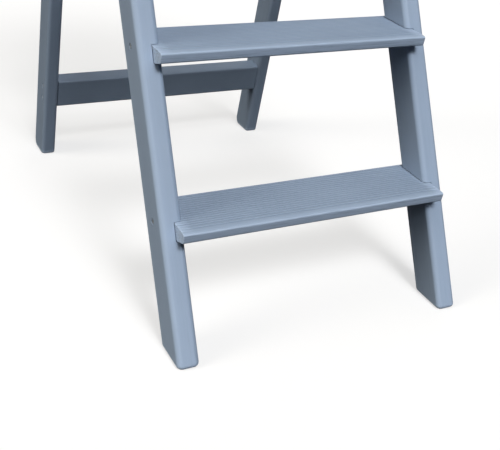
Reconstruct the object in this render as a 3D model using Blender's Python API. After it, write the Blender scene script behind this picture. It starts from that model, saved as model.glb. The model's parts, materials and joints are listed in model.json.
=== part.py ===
"""A painted wooden folding step ladder.

Two leaning stiles carry four reeded treads and a top board. A rear frame of two legs and three
rails hangs on strap hinges behind the stiles, and a steel hook stay on each side holds it open.

Units are metres, +Z is up, +X is the climber's right and the climber stands on the -Y side.
Shapes are drawn as outlines in the Y, Z plane and extruded along X, or turned about an axis.
While they are drawn, Y = 0 is the stiles' front face at floor level. At the end the whole ladder
is moved so that the origin is the middle of its footprint, on the floor.
"""
import math

import bmesh
import bpy
from mathutils import Vector

GAP = 0.0003                          # clearance between pieces that touch
SAME_POINT = 0.00001                  # outline points closer than this are one

# Driving dimensions of the two frames
FRONT_LEAN = math.radians(26.0)       # stiles, from the vertical
REAR_LEAN = math.radians(13.0)        # rear legs, from the vertical
REAR_FOOT_Y = 0.8534                  # front face of the rear legs at floor level
HALF_WIDTH = 0.267                    # outer faces of the stiles
REAR_HALF_WIDTH = 0.264               # outer faces of the rear legs
STILE_THICKNESS = 0.037
STILE_DEPTH = 0.0733
LEG_THICKNESS = 0.029
LEG_DEPTH = 0.067
STILE_EDGE_RADIUS = 0.0095            # long edges of the stiles
LEG_EDGE_RADIUS = 0.008               # long edges of the rear legs
RAIL_EDGE_RADIUS = 0.0045             # long edges of the rails
FOOT_RADIUS = 0.0055                  # round a stile's foot
REAR_FOOT_RADIUS = 0.003              # round a rear leg's foot, except its heel
HEEL_RADIUS = 0.015                   # heel of a rear leg
LEG_TOP_RADIUS = 0.004                # round the top of a rear leg

# Treads and top board
TREAD_COUNT = 4
FIRST_TREAD_TOP = 0.210
TREAD_SPACING = 0.250
TREAD_THICKNESS = 0.026
TREAD_NOSING = 0.042                  # how far a tread stands out before the stiles
TREAD_BACK = 0.086                    # from the stiles' front face to a tread's back edge
HOUSING_DEPTH = 0.014                 # how deep a tread sits in each stile
NOSE_TOP_RADIUS = 0.003
NOSE_BOTTOM_RADIUS = 0.005
NOSE_HEIGHT = 0.018                   # from a board's top down to the foot of its nose
NOSE_BEVEL = math.radians(19.0)       # underside's fall behind the foot of the nose
BEVEL_RADIUS = 0.012                  # where the bevel meets the flat underside
NOSE_FALL = 0.001                     # smooth nosing's drop towards its front edge
NOSE_UNDERCUT = 0.0035                # foot of the nose behind its top
BACK_RADIUS = 0.003
REED_FIRST = 0.017                    # from the nose to the first groove
REED_FIRST_STEP = 0.0087              # from the first groove to the second
REED_PITCH = 0.00685
REED_HALF_WIDTH = 0.0016
REED_DEPTH = 0.0013
BOARD_THICKNESS = 0.021
BOARD_LENGTH = 0.552
BOARD_NOSING = 0.042
BOARD_DEPTH = 0.190

# Rails and batten
RAIL_HEIGHT = 0.064
RAIL_THICKNESS = 0.034
RAIL_RECESS = 0.003                   # rail's front face behind the legs' front faces
RAIL_TOPS = {"bottom": 0.182, "middle": 0.600, "top": 1.000}
BATTEN_HEIGHT = 0.060
BATTEN_THICKNESS = 0.028
BATTEN_HOUSING = 0.008

# Wood screws: head radius, shank radius, length
TREAD_SCREW = (0.0042, 0.0022, 0.060)
RAIL_SCREW = (0.0042, 0.0022, 0.070)
BOARD_SCREW = (0.0042, 0.0022, 0.050)
HINGE_SCREW = (0.0038, 0.0018, 0.026)
TREAD_SCREW_DROP = 0.012              # each tread screw below the tread's top
RAIL_SCREW_SPREAD = 0.015             # each rail screw above or below the rail's middle
BOARD_SCREW_SPREAD = 0.020            # each board screw before or behind the stile's middle

# Strap hinges
HINGE_OFFSET = 0.0075                 # pin axis to the wood on either side
LEAF_THICKNESS = 0.0025
LEAF_LENGTH = 0.062
LEAF_WIDTH = 0.018
KNUCKLE_WIDTH = 0.0062
PIN_RADIUS = 0.0025
PIN_HEAD_RADIUS = 0.0042
PIN_HEAD_THICKNESS = 0.0012
LEAF_SCREWS = (0.022, 0.047)          # along a leaf from the pin axis
LEG_ABOVE_PIN = 0.006                 # top of a rear leg above the pin axis

# Hook stays on the outer faces
HOOK_HEIGHT = 0.800                   # pivot and stud above the floor
HOOK_THICKNESS = 0.003
HOOK_HALF_BAR = 0.009
HOOK_TIP = 0.015                      # hook's end beyond the stud
HOOK_DROP = 0.015                     # hook's point below the stud's axis
HOOK_POINT_RADIUS = 0.003
HOOK_INNER_X = 0.2682                 # hook's inner face
PIVOT_RADIUS = 0.0026
PIVOT_HEAD_RADIUS = 0.006
PIVOT_LENGTH = 0.030
WASHER_RADIUS = 0.008
STUD_RADIUS = 0.003
STUD_HEAD_RADIUS = 0.006
STUD_HEAD_X = 0.2720                  # inner side of the stud's head
STUD_LENGTH = 0.025

ARC_STEPS = 3                         # segments in a filleted corner
FOOT_STEPS = 5                        # sections in the rounding of a foot
TOP_STEPS = 2                         # sections in the rounding of a leg's top
ROUND_SEGMENTS = 10                   # segments round a screw
HINGE_SEGMENTS = 16                   # segments round a hinge barrel, pin or stud

# Places worked out from the dimensions above
STILE_RUN = STILE_DEPTH / math.cos(FRONT_LEAN)     # stile depth measured level
LEG_RUN = LEG_DEPTH / math.cos(REAR_LEAN)          # rear leg depth measured level
TREAD_TOPS = [FIRST_TREAD_TOP + step * TREAD_SPACING for step in range(TREAD_COUNT)]
BOARD_TOP = FIRST_TREAD_TOP + TREAD_COUNT * TREAD_SPACING
STILE_TOP = BOARD_TOP - BOARD_THICKNESS - GAP
STILE_INNER_X = HALF_WIDTH - STILE_THICKNESS
LEG_INNER_X = REAR_HALF_WIDTH - LEG_THICKNESS
TREAD_HALF_LENGTH = STILE_INNER_X + HOUSING_DEPTH
FOLD_ANGLE = FRONT_LEAN + REAR_LEAN

UP_STILE = Vector((math.sin(FRONT_LEAN), math.cos(FRONT_LEAN)))     # (Y, Z), towards the top
STILE_BACKWARD = Vector((math.cos(FRONT_LEAN), -math.sin(FRONT_LEAN)))
DOWN_LEG = Vector((math.sin(REAR_LEAN), -math.cos(REAR_LEAN)))
LEG_FORWARD = Vector((-math.cos(REAR_LEAN), -math.sin(REAR_LEAN)))


def stile_front(height):
    """Y of the stiles' front face at a height."""
    return height * math.tan(FRONT_LEAN)


def leg_front(height):
    """Y of the rear legs' front face at a height."""
    return REAR_FOOT_Y - height * math.tan(REAR_LEAN)


def hinge_axis():
    """(Y, Z) of the point that is HINGE_OFFSET from both the stiles' back and the legs' front."""
    from_stile = HINGE_OFFSET + STILE_RUN * math.cos(FRONT_LEAN)
    from_leg = REAR_FOOT_Y * math.cos(REAR_LEAN) - HINGE_OFFSET
    spread = math.sin(FOLD_ANGLE)
    y = (from_stile * math.sin(REAR_LEAN) + from_leg * math.sin(FRONT_LEAN)) / spread
    z = (from_leg * math.cos(FRONT_LEAN) - from_stile * math.cos(REAR_LEAN)) / spread
    return Vector((y, z))


# ---- Outlines -------------------------------------------------------------------------------

def arc(centre, radius, start, turn, steps):
    """Points on an arc, angles from the first axis towards the second."""
    angles = [start + turn * step / steps for step in range(steps + 1)]
    return [Vector((centre[0] + radius * math.cos(angle), centre[1] + radius * math.sin(angle)))
            for angle in angles]


def filleted(corners):
    """Outline through (first, second, radius) corners, each rounded by its own radius."""
    points = []
    for index, (first, second, radius) in enumerate(corners):
        here = Vector((first, second))
        if radius == 0:
            points.append(here)
            continue
        before = (Vector(corners[index - 1][:2]) - here).normalized()
        after = (Vector(corners[(index + 1) % len(corners)][:2]) - here).normalized()
        half_angle = before.angle(after) / 2
        centre = here + (before + after).normalized() * (radius / math.sin(half_angle))
        start = here + before * (radius / math.tan(half_angle)) - centre
        turn = math.copysign(math.pi - 2 * half_angle, after.cross(before))
        rounded = arc(centre, radius, math.atan2(start.y, start.x), turn, ARC_STEPS)
        joins_last = points and (rounded[0] - points[-1]).length < SAME_POINT
        points += rounded[1:] if joins_last else rounded
    return points


def reeded_outline(front, back, top, thickness):
    """Section of a tread: rounded nose, square back, and grooves across its top."""
    bottom = top - thickness
    nose_foot = (front + NOSE_UNDERCUT, top - NOSE_HEIGHT)
    bevel_end = nose_foot[0] + (nose_foot[1] - bottom) / math.tan(NOSE_BEVEL)
    corners = [(*nose_foot, NOSE_BOTTOM_RADIUS), (bevel_end, bottom, BEVEL_RADIUS)]
    corners.append((back, bottom, BACK_RADIUS))
    corners.append((back, top, BACK_RADIUS))
    grooves = [front + REED_FIRST]
    groove = grooves[0] + REED_FIRST_STEP
    while groove < back - 2 * BACK_RADIUS:
        grooves.append(groove)
        groove += REED_PITCH
    for groove in reversed(grooves):
        corners.append((groove + REED_HALF_WIDTH, top, 0))
        corners.append((groove, top - REED_DEPTH, 0))
        corners.append((groove - REED_HALF_WIDTH, top, 0))
    corners.append((front, top - NOSE_FALL, NOSE_TOP_RADIUS))
    return filleted(corners)


# ---- Leaning bars ---------------------------------------------------------------------------

def section(low_x, high_x, depth, radius, side=0.0, front=0.0, back=0.0):
    """Rounded rectangle across a bar as (X, depth behind its front), pulled in by insets."""
    low_x, high_x, front, back = low_x + side, high_x - side, front, depth - back
    corner = max(radius - side, FOOT_RADIUS / 4)
    return filleted([(low_x, front, corner), (high_x, front, corner),
                     (high_x, back, corner), (low_x, back, corner)])


def fillet_reach(radius, lean_in):
    """Distance along the floor that a foot's fillet takes, where its face leans inwards."""
    return radius / math.tan((math.pi / 2 - lean_in) / 2)


def foot_inset(height, radius, lean_in):
    """How far a filleted foot lies inside its bar's face at a height, measured level."""
    reach = fillet_reach(radius, lean_in)
    if height >= reach * math.cos(lean_in):
        return 0.0
    return reach - math.sqrt(radius ** 2 - (height - radius) ** 2) - height * math.tan(lean_in)


def level_ring(foot_y, lean, height, outline):
    """A bar's outline cut level at a height; a positive lean is towards the back."""
    front = foot_y + height * math.tan(lean)
    return [(x, front + depth / math.cos(lean), height) for x, depth in outline]


def foot_rings(low_x, high_x, depth, radius, foot_y, lean, toe_radius, heel_radius):
    """Level sections of a bar's rounded foot, from the floor up."""
    top = max(fillet_reach(toe_radius, lean), fillet_reach(heel_radius, -lean)) * math.cos(lean)
    rings = []
    for step in range(FOOT_STEPS + 1):
        height = top * (1 - math.cos(math.pi / 2 * step / FOOT_STEPS))
        outline = section(low_x, high_x, depth, radius, foot_inset(height, toe_radius, 0.0),
                          foot_inset(height, toe_radius, lean) * math.cos(lean),
                          foot_inset(height, heel_radius, -lean) * math.cos(lean))
        rings.append(level_ring(foot_y, lean, height, outline))
    return rings


# ---- Meshes ---------------------------------------------------------------------------------

def finished_mesh(name, shape, smooth_angle=math.radians(35.0)):
    """Mesh from a bmesh, with its faces pointing out and its shallow edges shaded smooth."""
    bmesh.ops.recalc_face_normals(shape, faces=shape.faces)
    mesh = bpy.data.meshes.new(name)
    shape.to_mesh(mesh)
    shape.free()
    mesh.shade_smooth()
    mesh.set_sharp_from_angle(angle=smooth_angle)
    return mesh


def add_extrusion(shape, outline, low_x, high_x):
    """Extrudes a (Y, Z) outline along X."""
    ends = []
    for x in (low_x, high_x):
        ring = [shape.verts.new((x, point[0], point[1])) for point in outline]
        ends.append(shape.faces.new(ring))
    low, high = (end.verts[:] for end in ends)
    for index in range(len(outline)):
        following = (index + 1) % len(outline)
        shape.faces.new((low[index], low[following], high[following], high[index]))


def extruded(name, outline, low_x, high_x):
    """Mesh of an outline extruded along X."""
    shape = bmesh.new()
    add_extrusion(shape, outline, low_x, high_x)
    return finished_mesh(name, shape)


def lofted(name, rings):
    """Mesh that skins rings of the same number of points, closed at both ends."""
    shape = bmesh.new()
    loops = [[shape.verts.new(point) for point in ring] for ring in rings]
    shape.faces.new(loops[0])
    shape.faces.new(loops[-1])
    for lower, upper in zip(loops, loops[1:]):
        for index in range(len(lower)):
            following = (index + 1) % len(lower)
            shape.faces.new((lower[index], lower[following], upper[following], upper[index]))
    return finished_mesh(name, shape)


def add_turned(shape, profile, start, direction, segments, ring=False):
    """Turns a (distance along the axis, radius) profile about the axis from start."""
    turn = Vector(direction).to_track_quat("Z", "Y")
    rings = []
    for distance, radius in profile:
        circle = arc((0, 0), radius, 0, math.tau * (segments - 1) / segments, segments - 1)
        rings.append([shape.verts.new(Vector(start) + turn @ Vector((point.x, point.y, distance)))
                      for point in circle])
    pairs = list(zip(rings, rings[1:]))
    if ring:
        pairs.append((rings[-1], rings[0]))
    else:
        shape.faces.new(rings[0])
        shape.faces.new(rings[-1])
    for lower, upper in pairs:
        for index in range(segments):
            following = (index + 1) % segments
            shape.faces.new((lower[index], lower[following], upper[following], upper[index]))


def turned(name, profile, start, direction, segments, ring=False):
    """Mesh of one turned piece."""
    shape = bmesh.new()
    add_turned(shape, profile, start, direction, segments, ring)
    return finished_mesh(name, shape)


# ---- Objects --------------------------------------------------------------------------------

def principled(name, colour, roughness, metallic):
    """A plain material of one colour."""
    material = bpy.data.materials.new(name)
    material.use_nodes = True
    shader = material.node_tree.nodes["Principled BSDF"]
    shader.inputs["Base Color"].default_value = (*colour, 1.0)
    shader.inputs["Roughness"].default_value = roughness
    shader.inputs["Metallic"].default_value = metallic
    material.diffuse_color = (*colour, 1.0)
    return material


def empty(name, location=(0.0, 0.0, 0.0), parent=None):
    """An empty that carries one body and stands on its joint's axis."""
    holder = bpy.data.objects.new(name, None)
    holder.location = location
    holder.parent = parent
    bpy.context.scene.collection.objects.link(holder)
    return holder


def piece(name, mesh, body, material):
    """One sub-part: an object whose mesh is drawn in place, carried by its body's empty."""
    part = bpy.data.objects.new(name, mesh)
    own = material.copy()
    own.name = name
    mesh.materials.append(own)
    bpy.context.scene.collection.objects.link(part)
    carry(part, body)
    return part


def carry(part, body):
    """Parents an object drawn in place, so that it turns about its body's empty."""
    place = Vector((0.0, 0.0, 0.0))
    holder = body
    while holder is not None:
        place += holder.location
        holder = holder.parent
    part.parent = body
    part.location = -place


def cutter(name, shape, body):
    """A hidden shape that is cut out of wood or steel."""
    tool = bpy.data.objects.new(name, finished_mesh(name, shape))
    tool.hide_render = True
    tool.display_type = "WIRE"
    bpy.context.scene.collection.objects.link(tool)
    carry(tool, body)
    return tool


def cut(part, tools):
    """Takes each tool's shape out of a part."""
    for tool in tools:
        boolean = part.modifiers.new(tool.name, "BOOLEAN")
        boolean.operation = "DIFFERENCE"
        boolean.solver = "EXACT"
        boolean.object = tool


def add_box(shape, low, high):
    """Adds a box between two corners to a cutter."""
    outline = [(low[1], low[2]), (high[1], low[2]), (high[1], high[2]), (low[1], high[2])]
    add_extrusion(shape, outline, low[0], high[0])


# ---- Fasteners ------------------------------------------------------------------------------

def screw_profile(size, room=0.0):
    """Countersunk screw from its head's face down, or the hole that it needs with some room."""
    head_radius, shank_radius, length = size
    head_depth = head_radius - shank_radius
    tip = 2.5 * shank_radius
    profile = [(head_depth, shank_radius + room), (length - tip, shank_radius + room),
               (length + room, 0.3 * shank_radius + room)]
    if room == 0:
        return [(0.0, head_radius)] + profile
    return [(-0.003, head_radius + room), (0.0, head_radius + room)] + profile


def screws(size, places, body, material, tool_name):
    """Makes a screw at each named place, and one cutter with the room for all of them."""
    room = bmesh.new()
    for name, (start, direction) in places.items():
        mesh = turned(name, screw_profile(size), start, direction, ROUND_SEGMENTS)
        piece(name, mesh, body, material)
        add_turned(room, screw_profile(size, GAP), start, direction, ROUND_SEGMENTS)
    return cutter(tool_name, room, body)


# ---- Front frame ----------------------------------------------------------------------------

def stile(name, side, body, material):
    """A leaning stile, cut level at its foot and under the top board."""
    ends = sorted((side * STILE_INNER_X, side * HALF_WIDTH))
    rings = foot_rings(*ends, STILE_DEPTH, STILE_EDGE_RADIUS, 0.0, FRONT_LEAN,
                       FOOT_RADIUS, FOOT_RADIUS)
    outline = section(*ends, STILE_DEPTH, STILE_EDGE_RADIUS)
    rings.append(level_ring(0.0, FRONT_LEAN, STILE_TOP, outline))
    return piece(name, lofted(name, rings), body, material)


def housing_cutter(body):
    """The grooves in the stiles that hold the ends of the treads and the batten."""
    housings = bmesh.new()
    reach = 0.030
    for top in TREAD_TOPS:
        front = stile_front(top)
        half = TREAD_HALF_LENGTH + GAP
        add_box(housings, (-half, front - reach, top - TREAD_THICKNESS - GAP),
                (half, front + STILE_RUN + reach, top + GAP))
    low, high = batten_box(GAP)
    add_box(housings, low, high)
    return cutter("stile_housings", housings, body)


def batten_box(room=0.0):
    """Corners of the batten between the stiles' tops, or of the housing that it needs."""
    middle = stile_front(STILE_TOP - BATTEN_HEIGHT / 2) + STILE_RUN / 2
    half_length = STILE_INNER_X + BATTEN_HOUSING + room
    half_thickness = BATTEN_THICKNESS / 2 + room
    low = (-half_length, middle - half_thickness, STILE_TOP - BATTEN_HEIGHT - room)
    high = (half_length, middle + half_thickness, STILE_TOP + room)
    return low, high


def tread_screw_places():
    """One screw through each stile into the end of each tread."""
    places = {}
    for number, top in enumerate(TREAD_TOPS, 1):
        height = top - TREAD_SCREW_DROP
        y = stile_front(height) + STILE_RUN / 2
        for label, side in (("left", -1), ("right", 1)):
            start = (side * (HALF_WIDTH - GAP), y, height)
            places[f"tread_{number}_{label}_screw"] = (start, (-side, 0, 0))
    return places


def board_screw_places():
    """Two screws through the top board into the top of each stile."""
    places = {}
    middle = stile_front(STILE_TOP) + STILE_RUN / 2
    x = HALF_WIDTH - STILE_THICKNESS / 2
    for label, side in (("left", -1), ("right", 1)):
        for end, step in (("front", -1), ("back", 1)):
            start = (side * x, middle + step * BOARD_SCREW_SPREAD, BOARD_TOP - REED_DEPTH)
            places[f"top_board_{label}_{end}_screw"] = (start, (0, 0, -1))
    return places


def front_frame(body, paint, steel):
    """Stiles, treads, batten and top board, with their screws. Returns the two stiles."""
    tread_room = screws(TREAD_SCREW, tread_screw_places(), body, steel, "tread_screw_room")
    board_room = screws(BOARD_SCREW, board_screw_places(), body, steel, "board_screw_room")
    housings = housing_cutter(body)
    stiles = []
    for name, side in (("left_stile", -1), ("right_stile", 1)):
        part = stile(name, side, body, paint)
        cut(part, [housings, tread_room, board_room])
        stiles.append(part)
    for number, top in enumerate(TREAD_TOPS, 1):
        name = f"tread_{number}"
        front = stile_front(top) - TREAD_NOSING
        back = stile_front(top) + TREAD_BACK
        outline = reeded_outline(front, back, top, TREAD_THICKNESS)
        mesh = extruded(name, outline, -TREAD_HALF_LENGTH, TREAD_HALF_LENGTH)
        cut(piece(name, mesh, body, paint), [tread_room])
    front = stile_front(STILE_TOP) - BOARD_NOSING
    outline = reeded_outline(front, front + BOARD_DEPTH, BOARD_TOP, BOARD_THICKNESS)
    mesh = extruded("top_board", outline, -BOARD_LENGTH / 2, BOARD_LENGTH / 2)
    cut(piece("top_board", mesh, body, paint), [board_room])
    batten = bmesh.new()
    add_box(batten, *batten_box())
    piece("top_batten", finished_mesh("top_batten", batten), body, paint)
    return stiles


# ---- Rear frame -----------------------------------------------------------------------------

def rear_leg(name, side, axis, body, material):
    """A rear leg with a level foot, square cut just above the hinge pin."""
    ends = sorted((side * LEG_INNER_X, side * REAR_HALF_WIDTH))
    rings = foot_rings(*ends, LEG_DEPTH, LEG_EDGE_RADIUS, REAR_FOOT_Y, -REAR_LEAN,
                       REAR_FOOT_RADIUS, HEEL_RADIUS)
    top_front = axis - LEG_FORWARD * HINGE_OFFSET - DOWN_LEG * LEG_ABOVE_PIN
    for step in range(TOP_STEPS + 1):
        angle = math.pi / 2 * step / TOP_STEPS
        inset = LEG_TOP_RADIUS * (1 - math.cos(angle))
        front = top_front + DOWN_LEG * (LEG_TOP_RADIUS * (1 - math.sin(angle)))
        outline = section(*ends, LEG_DEPTH, LEG_EDGE_RADIUS, inset, inset, inset)
        rings.append([(x, *(front - LEG_FORWARD * depth)) for x, depth in outline])
    return piece(name, lofted(name, rings), body, material)


def rail_middle(top):
    """(Y, Z) of the middle of a rail's section, from the height of its top front edge."""
    front_top = Vector((leg_front(top), top)) - LEG_FORWARD * RAIL_RECESS
    return front_top - LEG_FORWARD * (RAIL_THICKNESS / 2) + DOWN_LEG * (RAIL_HEIGHT / 2)


def rail_outline(top):
    """Section of a rail, leaning with the legs."""
    corners = []
    for down, forward in ((0.5, 0.5), (0.5, -0.5), (-0.5, -0.5), (-0.5, 0.5)):
        corner = rail_middle(top) + DOWN_LEG * (RAIL_HEIGHT * down)
        corner += LEG_FORWARD * (RAIL_THICKNESS * forward)
        corners.append((*corner, RAIL_EDGE_RADIUS))
    return filleted(corners)


def rail_screw_places():
    """Two screws through each leg into each end of each rail."""
    places = {}
    for rail, top in RAIL_TOPS.items():
        for label, side in (("left", -1), ("right", 1)):
            for end, step in (("upper", -1), ("lower", 1)):
                place = rail_middle(top) + DOWN_LEG * (step * RAIL_SCREW_SPREAD)
                start = (side * (REAR_HALF_WIDTH - GAP), place.x, place.y)
                places[f"{rail}_rail_{label}_{end}_screw"] = (start, (-side, 0, 0))
    return places


def rear_frame(axis, body, paint, steel):
    """Legs and rails with their screws. Returns the two legs."""
    room = screws(RAIL_SCREW, rail_screw_places(), body, steel, "rail_screw_room")
    legs = []
    for name, side in (("left_rear_leg", -1), ("right_rear_leg", 1)):
        part = rear_leg(name, side, axis, body, paint)
        cut(part, [room])
        legs.append(part)
    half_length = LEG_INNER_X - GAP
    for rail, top in RAIL_TOPS.items():
        name = f"{rail}_rear_rail"
        part = piece(name, extruded(name, rail_outline(top), -half_length, half_length),
                     body, paint)
        cut(part, [room])
    return legs


# ---- Hinges ---------------------------------------------------------------------------------

def leaf_outline():
    """A leaf's section: (distance along the wood from the pin, height off the wood)."""
    barrel_radius = HINGE_OFFSET - GAP
    plate_top = GAP + LEAF_THICKNESS
    start = math.asin((plate_top - HINGE_OFFSET) / barrel_radius)
    turn = 1.5 * math.pi - start
    barrel = arc((0, HINGE_OFFSET), barrel_radius, start, turn, HINGE_SEGMENTS)
    return barrel + [Vector((LEAF_LENGTH, GAP)), Vector((LEAF_LENGTH, plate_top))]


def hinge_leaf(name, centre_x, axis, along, outward, gaps, body, steel):
    """A leaf with its knuckles; gaps are the (low, high) X stretches left for the other leaf."""
    outline = [axis + along * point.x + outward * (point.y - HINGE_OFFSET)
               for point in leaf_outline()]
    mesh = extruded(name, outline, centre_x - LEAF_WIDTH / 2, centre_x + LEAF_WIDTH / 2)
    leaf = piece(name, mesh, body, steel)
    room = bmesh.new()
    reach = HINGE_OFFSET + GAP
    for low, high in gaps:
        corners = [axis + along * (reach * a) + outward * (reach * b)
                   for a, b in ((-1, -1), (1, -1), (1, 1), (-1, 1))]
        add_extrusion(room, corners, centre_x + low, centre_x + high)
    bore = bmesh.new()
    add_turned(bore, [(0, PIN_RADIUS + GAP), (2 * LEAF_WIDTH, PIN_RADIUS + GAP)],
               (centre_x - LEAF_WIDTH, *axis), (1, 0, 0), HINGE_SEGMENTS)
    cut(leaf, [cutter(f"{name}_gaps", room, body), cutter(f"{name}_bore", bore, body)])
    return leaf


def leaf_screw_places(label, centre_x, axis, along, outward):
    """The two screws of one leaf."""
    places = {}
    face = axis + outward * (GAP + LEAF_THICKNESS - HINGE_OFFSET)
    for number, distance in enumerate(LEAF_SCREWS, 1):
        place = face + along * distance
        places[f"{label}_screw_{number}"] = ((centre_x, *place), (0, *-outward))
    return places


def hinge(label, side, axis, bodies, woods, steel):
    """A strap hinge: the upper leaf on the stile's back, the lower one on the leg's front."""
    centre_x = side * (STILE_INNER_X + REAR_HALF_WIDTH) / 2
    edge = LEAF_WIDTH / 2 + GAP
    knuckle = KNUCKLE_WIDTH / 2
    middle_gap = [(-knuckle - GAP, knuckle + GAP)]
    outer_gaps = [(-edge, -knuckle), (knuckle, edge)]
    leaves = (("upper", bodies[0], woods[0], UP_STILE, STILE_BACKWARD, middle_gap),
              ("lower", bodies[1], woods[1], DOWN_LEG, LEG_FORWARD, outer_gaps))
    for level, body, wood, along, outward, gaps in leaves:
        name = f"{label}_hinge_{level}_leaf"
        leaf = hinge_leaf(name, centre_x, axis, along, outward, gaps, body, steel)
        places = leaf_screw_places(f"{label}_hinge_{level}", centre_x, axis, along, outward)
        room = screws(HINGE_SCREW, places, body, steel, f"{name}_screw_room")
        cut(leaf, [room])
        cut(wood, [room])
    half = LEAF_WIDTH / 2 + GAP
    end = half + PIN_HEAD_THICKNESS
    profile = [(-end, PIN_HEAD_RADIUS), (-half, PIN_HEAD_RADIUS), (-half, PIN_RADIUS),
               (half, PIN_RADIUS), (half, PIN_HEAD_RADIUS), (end, PIN_HEAD_RADIUS)]
    name = f"{label}_hinge_pin"
    mesh = turned(name, profile, (centre_x, *axis), (1, 0, 0), HINGE_SEGMENTS)
    piece(name, mesh, bodies[0], steel)


# ---- Hook stays -----------------------------------------------------------------------------

def hook_pivot():
    """(Y, Z) of a hook's pivot, in the middle of the rear leg."""
    return Vector((leg_front(HOOK_HEIGHT) + LEG_RUN / 2, HOOK_HEIGHT))


def hook_stud():
    """(Y, Z) of the stud that a hook drops over, in the middle of the stile."""
    return Vector((stile_front(HOOK_HEIGHT) + STILE_RUN / 2, HOOK_HEIGHT))


def hook_outline():
    """A level flat bar with a round eye end and a notch that opens downwards over the stud."""
    pivot = hook_pivot()
    stud = hook_stud()
    notch = STUD_RADIUS + 2 * GAP
    tip = stud.x - HOOK_TIP
    eye = pivot.x + HOOK_HALF_BAR
    low = stud.y - HOOK_DROP
    high = pivot.y + HOOK_HALF_BAR
    bar_low = pivot.y - HOOK_HALF_BAR
    return filleted([
        (tip, high, HOOK_HALF_BAR), (tip, low, HOOK_POINT_RADIUS),
        (stud.x - notch, low, HOOK_POINT_RADIUS), (stud.x - notch, stud.y + notch, notch),
        (stud.x + notch, stud.y + notch, notch), (stud.x + notch, bar_low, HOOK_POINT_RADIUS),
        (eye, bar_low, HOOK_HALF_BAR), (eye, high, HOOK_HALF_BAR)])


def hook_stay(label, side, bodies, woods, steel):
    """A hook on its pivot screw and washer, and the headed stud that it drops over."""
    front_body, rear_body, hook_body = bodies
    stile_wood, leg_wood = woods
    pivot = hook_pivot()
    stud = hook_stud()
    inward = (-side, 0, 0)
    ends = sorted((side * HOOK_INNER_X, side * (HOOK_INNER_X + HOOK_THICKNESS)))
    name = f"{label}_hook"
    hook = piece(name, extruded(name, hook_outline(), *ends), hook_body, steel)

    head = HOOK_INNER_X + HOOK_THICKNESS + GAP
    profile = [(-0.0030, 0.6 * PIVOT_HEAD_RADIUS), (-0.0018, PIVOT_HEAD_RADIUS),
               (0, PIVOT_HEAD_RADIUS), (0, PIVOT_RADIUS), (PIVOT_LENGTH - 0.005, PIVOT_RADIUS),
               (PIVOT_LENGTH, 0.3 * PIVOT_RADIUS)]
    name = f"{label}_hook_pivot_screw"
    mesh = turned(name, profile, (side * head, *pivot), inward, HINGE_SEGMENTS)
    piece(name, mesh, rear_body, steel)
    room = bmesh.new()
    add_turned(room, [(-0.010, PIVOT_RADIUS + GAP), (PIVOT_LENGTH + GAP, PIVOT_RADIUS + GAP)],
               (side * head, *pivot), inward, HINGE_SEGMENTS)
    pivot_room = cutter(f"{label}_hook_pivot_room", room, rear_body)
    cut(hook, [pivot_room])
    cut(leg_wood, [pivot_room])

    bore = PIVOT_RADIUS + GAP
    washer = [(REAR_HALF_WIDTH + GAP, bore), (REAR_HALF_WIDTH + GAP, WASHER_RADIUS),
              (HOOK_INNER_X - GAP, WASHER_RADIUS), (HOOK_INNER_X - GAP, bore)]
    name = f"{label}_hook_washer"
    mesh = turned(name, washer, (0, *pivot), (side, 0, 0), HINGE_SEGMENTS, ring=True)
    piece(name, mesh, rear_body, steel)

    profile = [(-0.0025, 0.7 * STUD_HEAD_RADIUS), (-0.0015, STUD_HEAD_RADIUS),
               (0, STUD_HEAD_RADIUS), (0, STUD_RADIUS), (STUD_LENGTH, STUD_RADIUS)]
    name = f"{label}_hook_stud"
    mesh = turned(name, profile, (side * STUD_HEAD_X, *stud), inward, HINGE_SEGMENTS)
    piece(name, mesh, front_body, steel)
    room = bmesh.new()
    add_turned(room, [(-0.001, STUD_RADIUS + GAP), (STUD_LENGTH + GAP, STUD_RADIUS + GAP)],
               (side * STUD_HEAD_X, *stud), inward, HINGE_SEGMENTS)
    cut(stile_wood, [cutter(f"{label}_hook_stud_room", room, front_body)])


# ---- The whole ladder -----------------------------------------------------------------------

def clear_scene():
    """Removes every object of the start-up file."""
    for old in list(bpy.data.objects):
        bpy.data.objects.remove(old, do_unlink=True)


def footprint_middle():
    """Middle Y of all the visible pieces together."""
    bpy.context.view_layer.update()
    depsgraph = bpy.context.evaluated_depsgraph_get()
    reach = []
    for part in bpy.context.scene.objects:
        if part.type == "MESH" and not part.hide_render:
            evaluated = part.evaluated_get(depsgraph)
            reach += [(evaluated.matrix_world @ vertex.co).y for vertex in evaluated.data.vertices]
    return (min(reach) + max(reach)) / 2


def build():
    """Builds the ladder and sets it over the origin."""
    clear_scene()
    paint = principled("painted_wood", (0.30, 0.39, 0.53), 0.55, 0.0)
    steel = principled("zinc_steel", (0.62, 0.63, 0.64), 0.35, 1.0)
    axis = hinge_axis()
    ladder = empty("ladder")
    front_body = empty("front_frame", parent=ladder)
    rear_body = empty("rear_frame", (0.0, *axis), ladder)
    stiles = front_frame(front_body, paint, steel)
    legs = rear_frame(axis, rear_body, paint, steel)
    for index, (label, side) in enumerate((("left", -1), ("right", 1))):
        woods = (stiles[index], legs[index])
        hinge(label, side, axis, (front_body, rear_body), woods, steel)
        pivot = hook_pivot() - axis
        hook_body = empty(f"{label}_hook_body", (side * HOOK_INNER_X, *pivot), rear_body)
        hook_stay(label, side, (front_body, rear_body, hook_body), woods, steel)
    ladder.location.y = -footprint_middle()


build()
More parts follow.
